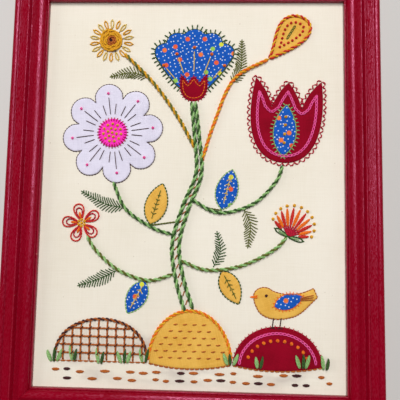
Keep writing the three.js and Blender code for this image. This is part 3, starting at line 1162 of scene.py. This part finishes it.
def sew_stems():
    """A trunk of two ropes with bars between them, and the stems that leave it."""
    apart = leftward(TRUNK) * np.linspace(3.7, 1.7, len(TRUNK))[:, None]
    for hand in (1, -1):
        sewing.rope((dark_green, light_green), TRUNK + hand * apart, 3.9, 9.5, 2.1)
    for i in range(6, len(TRUNK) - 60, 8):
        sewing.straight(rust, TRUNK[i] + 0.42 * apart[i], TRUNK[i + 4] - 0.42 * apart[i + 4], 1.1)
    for yarns, points in (
        ((dark_green, light_green), [(-16, -40), (-34, -34), (-58, -18), (-70, 6)]),
        ((dark_green, light_green), [(-1, -8), (24, -20), (54, -12), (74, 8), (80, 23)]),
        ((olive, yellow), [(3, 36), (-14, 66), (-36, 96), (-64, 124)]),
        ((orange, yellow), [(8, 24), (19, 60), (36, 100), (67.5, 119.5)]),
        ((olive, light_green), [(-9, -62), (14, -70), (44, -66), (72, -52), (84, -40)]),
        ((olive, light_green), [(-14, -74), (-36, -80), (-62, -72), (-82, -56), (-92, -42)]),
    ):
        sewing.rope(yarns, through(points), 3.5, 8.5, 1.9)
    for start, end in (
        ((-9, -28), (-35, -32)),
        ((14, -16), (27, -18)),
        ((-30, -79), (-38, -82)),
        ((22, -70), (28, -71)),
    ):
        sewing.straight(olive, start, end, 1.3)


def sew_leaves():
    """Edges and veins of the leaf patches, then ferns sewn straight on the cloth."""
    for name, edge, vein in (
        ("leaf_left", dark_green, olive),
        ("leaf_right", light_green, straw),
        ("leaf_low_left", light_green, straw),
        ("leaf_low_right", dark_green, olive),
    ):
        outline = OUTLINES[name]
        sewing.back(edge, edge_line(name, 0.5), 3.0, 1.15)
        far = outline[np.argmax(np.linalg.norm(outline - outline[0], axis=1))]
        base, tip = sorted((outline[0], far), key=lambda place: np.linalg.norm(place - TRUNK, axis=1).min())
        ends = [base + share * (tip - base) for share in (0.12, 0.8)]
        sewing.fern(vein, even_steps(ends, 1.0), 4.2, 4.0, 0.8)
    for points, reach in (
        ([(-41, 101), (-56, 106), (-76, 102)], 9.5),
        ([(33, 96), (42, 110), (43, 137)], 9.5),
        ([(46, -16), (52, -30), (50, -50)], 10),
        ([(-58, -17), (-76, -14), (-98, -3)], 10),
        ([(-64, -72), (-80, -80), (-98, -86)], 9.5),
        ([(20, -68), (26, -54), (23, -37)], 8.5),
    ):
        sewing.fern(dark_green if chance.random() < 0.3 else olive, through(points), reach, 2.5, 0.95)


# A blade's yarn, the thickness of its strands, its width and its height above the cloth
LIGHT_BLADE = (light_green, 1.3, 2.1, 1.0)
DARK_BLADE = (dark_green, 1.2, 1.6, 2.0)


def sew_grass():
    """Tufts of fat blades along the ground, light ones first and dark ones over them."""
    for x, y, blades in (
        (-116, -151, 3), (-99, -150, 2), (-55, -151, 3), (-38, -150, 2), (36, -150, 3), (60, -152, 2),
        (97, -151, 3), (116, -152, 2), (-76, -152, 2),
    ):
        for i in (*range(0, blades, 2), *range(1, blades, 2)):
            side = i - (blades - 1) / 2
            root = np.array([x + 2.3 * side, y])
            tip = root + turned((0, chance.uniform(9.5, 14)), -20 * side + chance.uniform(-5, 5))
            yarn, *sizes = DARK_BLADE if i % 2 else LIGHT_BLADE
            sewing.spindle(yarn, root, tip, *sizes)


# Flowers

def sew_daisy():
    """A brown edge and brown rays on each petal, and a knotted eye."""
    centre = OUTLINES["daisy_eye"].mean(0)
    sewing.back(dark_brown, edge_line("daisy", 0.35), 2.6, 0.75, 0.15)
    for i in range(8):
        ahead = 8 + 45 * i
        for lean, reach in ((-13, 27), (0, 33), (13, 27)):
            sewing.straight(dark_brown, *ray(centre, ahead + lean, 17, reach), 0.7)
        sewing.knot(pink, *ray(centre, ahead, 36.5), 2.6, 1.0)
    sewing.legs(crimson, closed(OUTLINES["daisy_eye"]), 2.6, 2.6, 1.4, 0.8)
    sewing.knot_rings(yellow, centre, ((0, 1), (4, 6), (8, 11)), 2.5, 1.0, 4)


def sew_tulip():
    """A scalloped edge, a line of chain stitch inside it and a heart with a knotted middle."""
    outline = OUTLINES["tulip"]
    sewing.scallop(crimson, closed(outline), 5.2, 2.6, 1.2)
    sewing.chain(pink, closed(inset(outline, 6.0)), 3.4, 2.1, 0.85)
    sewing.blanket(light_green, edge_line("tulip_heart", 0.2), 3.4, 3.2, 0.9)
    heart = OUTLINES["tulip_heart"]
    for share in (0.25, 0.42, 0.6, 0.76):
        sewing.knot(yellow, heart[0] + share * (far_point(heart, UP) - heart[0]), 2.8, 1.1)


def sew_carnation():
    """A fringed edge, a stitched cup and rays that end in knots."""
    cup = OUTLINES["carnation_cup"]
    edge = edge_line("carnation", 0.2)[:-1]
    sewing.blanket(dark_green, longest_run(edge, ~inside(edge, cup)), 3.7, 4.4, 1.15)
    sewing.back(orange, closed(inset(cup, 2.6)), 2.6, 0.9)
    sewing.legs(crimson, closed(cup), 3.0, 1.5, 1.2, 0.8)
    root = far_point(cup, (0, -1))
    for lean in (-40, -20, 0, 20, 40):
        reach = 54 - 0.17 * abs(lean)
        sewing.straight(straw, *ray(root, lean, 27, reach - 8), 0.95)
        sewing.knot(orange, *ray(root, lean, reach - 4.5), 3.0, 1.15)


def sew_paisley():
    """A roped edge, a ring of knots and a line of chain stitch in the middle."""
    outline = OUTLINES["paisley"]
    sewing.rope((scarlet, yellow), edge_line("paisley", 0.7), 3.2, 7.5, 1.6)
    for place in even_steps(closed(inset(outline, 5.4)), 4.2)[:-1]:
        sewing.knot(scarlet, place, 2.5, 1.0)
    heart = inset(outline, 9.5)
    sewing.chain(olive, even_steps([far_point(heart, (0, -1)), far_point(heart, UP)], 1.0), 3.2, 2, 0.85)


def sew_wheel(centre, size):
    """A woven wheel: brown spokes with rounds of yarn over and under them, in a looped ring."""
    spokes = 9
    for i in range(spokes):
        sewing.straight(dark_brown, *ray(centre, 360 * i / spokes, 0, 0.72 * size), 1.0)
    turn = np.linspace(0, 2 * math.pi * 5, 400)
    reach = 1.4 + (size * 0.66 - 1.4) * turn / turn[-1]
    flat = centre + np.column_stack([reach * np.sin(turn), reach * np.cos(turn)])
    lift = 1.3 + 0.55 * np.cos(turn * spokes / 2) * smooth_rise(reach, 1.5, 5)
    rounds = np.column_stack([flat, sewing.heights(flat) + lift])
    third = len(turn) // 3
    rust.lay(rounds[:third], 1.7)
    yellow.lay(rounds[third - 1:], 1.9)
    for i in range(18):
        yarn = yellow if i % 2 else straw
        sewing.lazy_daisy(yarn, *ray(centre, 20 * i, 0.72 * size, 1.2 * size), 3.4, 1.1)
    sewing.knot(dark_brown, centre, 3.2, 1.2)


def sew_palmette(root, lean):
    """A fan of long orange and scarlet stitches over a crimson cup, with yellow knots at its tips."""
    for i in range(-5, 6):
        yarn = scarlet if i % 2 else orange
        reach = 26 - 0.32 * i ** 2
        sewing.spindle(yarn, *ray(root, lean + 13 * i, 8.5, reach), 1.25, 1.7)
        sewing.knot(yellow, *ray(root, lean + 13 * i, reach + 2.2), 2.9, 1.1)
    for i in range(-4, 5):
        sewing.straight(crimson, *ray(root, lean + 12 * i, 0.4, 11), 1.5)
    for hand in (-1, 1):
        sewing.lazy_daisy(dark_green, *ray(root, lean + 82 * hand, 0, 13), 4.4, 1.2, light_green)


def sew_red_flower(centre, size):
    """Five loops within loops round a knotted middle."""
    for i in range(5):
        ahead = 72 * i + 14
        sewing.loop(scarlet, *ray(centre, ahead, 3.5, size), 0.68 * size, 1.35)
        sewing.loop(crimson, *ray(centre, ahead, 4, 0.8 * size), 0.4 * size, 1.25)
        sewing.spindle(orange, *ray(centre, ahead, 4, 0.58 * size), 1.1, 1.2)
    sewing.knot_rings(yellow, centre, ((0, 1), (2.9, 6)), 2.7, 1.05)


# Ground and bird

ARCH_FOOT = -148.5  # a hillock's arch is sewn above this height


def sew_hillocks():
    """Roped, chained and dashed stitching on the two cloth hillocks, and a line under each."""
    gold, red = OUTLINES["hillock_gold"], OUTLINES["hillock_red"]
    gold_arch, red_arch = (longest_run(outline, outline[:, 1] > ARCH_FOOT) for outline in (gold, red))
    sewing.rope((orange, yellow), gold_arch - 0.7 * leftward(gold_arch), 3.3, 7.5, 1.6)
    for j, y in enumerate(np.arange(-145, -112, 5.6)):
        row = np.array([(x + 1, y) for x in np.arange(-33 + 4 * (j % 2), 37, 8.2)])
        for place in row[inside(row, gold) & (edge_distance(row, gold)[0] > 4.5)]:
            sewing.straight(rust, place - (1.9, 0.3), place + (1.9, 0.3), 1.2)
    sewing.chain(pink, red_arch + 5.5 * leftward(red_arch), 3.4, 2.1, 0.85)
    sewing.legs(crimson, red_arch, 4.0, 1.4, 1.1, 0.8)
    for place in even_steps(red_arch + 11.5 * leftward(red_arch), 6.0)[1:-1]:
        sewing.knot(orange, place, 3.0, 1.15)
    for name in ("hillock_gold", "hillock_red"):
        low = edge_line(name, 0.5)[:-1]
        base = low[low[:, 1] < ARCH_FOOT - 1]
        sewing.back(rust, base[np.argsort(base[:, 0])], 4.5, 1.3)


def sew_trellis(base, half_width, height):
    """A hillock of laid yarn: level rows and upright lines tied where they cross, under an arched edge."""
    base = np.array(base, float)
    turn = np.linspace(0, math.pi, 60)
    arch = base + np.column_stack([half_width * np.cos(turn), height * np.sin(turn) ** 0.8])
    sewing.rope((rust, dark_brown), arch, 3.0, 7.0, 1.5)
    sewing.back(rust, [base - (half_width, 0), base + (half_width, 0)], 5.0, 1.4)
    for y in np.arange(7, height - 3, 7.0):
        reach = half_width * math.sqrt(max(0, 1 - (y / height) ** 2.5)) - 1.5
        sewing.couched(rust, [base + (-reach, y), base + (reach, y)], 1.55)
    for x in np.arange(-half_width + 7.5, half_width - 4, 7.6):
        top = height * (1 - (x / half_width) ** 2) ** 0.4 - 1.5
        sewing.couched(rust, [base + (x, 0.8), base + (x, top)], 1.55, 1.0)
        for y in np.arange(7, top, 7.0):
            place = base + (x, y)
            sewing.straight(dark_brown, place - (1.3, 1.3), place + (1.3, 1.3), 0.85, 0, 2.6)


def sew_dashes():
    """Two loose rows of fat brown stitches below the hillocks."""
    for y, x in ((-158, -118), (-164, -108)):
        while x < 118:
            length = chance.uniform(5, 8.5)
            start = np.array([x, y + chance.uniform(-1.2, 1.2)])
            yarn = dark_brown if chance.random() < 0.3 else rust
            sewing.spindle(yarn, start, start + (length, 0), 1.15, 1.5)
            x += length + chance.choice((3.5, 5, 14))


def sew_bird():
    """Edges of the bird and its wing, with its eye, beak, tail feathers and feet."""
    outline = OUTLINES["bird"]
    sewing.back(rust, edge_line("bird", 0.35), 2.6, 0.9, 0.15)
    sewing.blanket(orange, edge_line("bird_wing", 0.1), 2.8, 2.0, 0.8)
    head = far_point(outline, (-1, 0))
    sewing.knot(dark_brown, head + (10.5, 1.2), 2.6, 1.05)
    for drop in (-1.0, 0.2, 1.2):
        sewing.straight(orange, head + (3.0, drop), head + (-3.4, -0.4), 1.0)
    tail = far_point(outline, (1, 0))
    for apart in (-2.4, 0, 2.4):
        sewing.straight(rust, tail + (-3, apart * 0.8), tail + (-15, apart * 0.4 - 1.5), 0.9)
    low = far_point(outline, (0, -1))
    for step in (-3.5, 3.0):
        foot = low + (step - 1, -6.5)
        sewing.straight(dark_brown, low + (step, 1.0), foot, 0.95)
        for toe in (-2.4, 0, 2.4):
            sewing.straight(dark_brown, foot, foot + (toe, -2.0), 0.8)


sew_stems()
sew_leaves()
sew_grass()
sew_daisy()
sew_tulip()
sew_carnation()
sew_paisley()
sew_wheel((-76, 136), 16)
sew_palmette((85, -40), -24)
sew_red_flower((-97, -31), 17)
sew_hillocks()
sew_trellis((-76, -150), 40, 36)
sew_dashes()
sew_bird()
for yarn in YARNS:
    yarn.gather()


# Floor, light and camera

FLOOR_HALF = 6.0
CAMERA_PLACE = (0.0193, -0.03828, 0.37828)
CAMERA_AIM = (0.00752, -0.00905, 0.0088)
CAMERA_ROLL = 1.05  # degrees


def make_floor():
    """A wide flat floor under the frame's back."""
    mesh = bpy.data.meshes.new("floor")
    corners = [(x * FLOOR_HALF, y * FLOOR_HALF, 0) for x, y in ((-1, -1), (1, -1), (1, 1), (-1, 1))]
    mesh.from_pydata(corners, [], [(0, 1, 2, 3)])
    mesh.materials.append(pale_floor())
    placed("floor", mesh)


def pointed(place, aim, up=(0, 0, 1)):
    """A placing at one point, looking at another."""
    forward = (Vector(aim) - Vector(place)).normalized()
    right = forward.cross(Vector(up)).normalized()
    over = right.cross(forward)
    turn = Matrix((right, over, -forward)).transposed()
    return Matrix.Translation(Vector(place)) @ turn.to_4x4()


def add_lamp(name, place, size, power, tint, reflected=True):
    """A flat lamp that faces the picture, left out of reflections if need be."""
    lamp = bpy.data.lights.new(name, "AREA")
    lamp.shape = "RECTANGLE"
    lamp.size, lamp.size_y = size
    lamp.energy = power
    lamp.color = tint
    held = placed(name, lamp)
    held.matrix_world = pointed(place, (0, 0, 0))
    held.visible_glossy = reflected


def add_camera():
    """The photograph's view, solved from the four corners of the sight opening."""
    camera = bpy.data.cameras.new("camera")
    camera.sensor_width = 36.0
    camera.lens = 37.8
    camera.clip_start = 0.01
    held = placed("camera", camera)
    held.matrix_world = pointed(CAMERA_PLACE, CAMERA_AIM, (*turned(UP, CAMERA_ROLL), 0))
    bpy.context.scene.camera = held


def add_surround(fill, backdrop, tint):
    """Weak light from all round, with a paler backdrop where the camera looks past the floor."""
    world = bpy.data.worlds.new("studio surround")
    world.use_nodes = True
    tree = world.node_tree
    seen = node(tree, "ShaderNodeLightPath").outputs["Is Camera Ray"]
    background = tree.nodes["Background"].inputs
    background["Color"].default_value = (*tint, 1)
    feed(tree, background["Strength"], spread(tree, seen, 0.0, 1.0, fill, backdrop))
    bpy.context.scene.world = world


make_floor()
add_lamp("window", (0.1, 1.6, 2.4), (1.0, 1.2), 54, (1.0, 0.99, 0.97))
add_lamp("ceiling", (0.35, 0.42, 2.4), (0.9, 0.9), 20, (1.0, 0.99, 0.97))
add_lamp("left fill", (-2.2, 0.3, 0.9), (1.6, 1.0), 19, (1.0, 0.98, 0.96), False)
add_lamp("right fill", (2.2, 0.2, 1.0), (1.6, 1.0), 6, (1.0, 0.98, 0.96), False)
add_lamp("low fill", (0.0, -2.2, 1.4), (2.0, 1.0), 2.5, (1.0, 0.97, 0.94), False)
add_surround(0.07, 0.62, (0.98, 0.98, 1.0))
add_camera()
bpy.context.scene.view_settings.view_transform = "Standard"
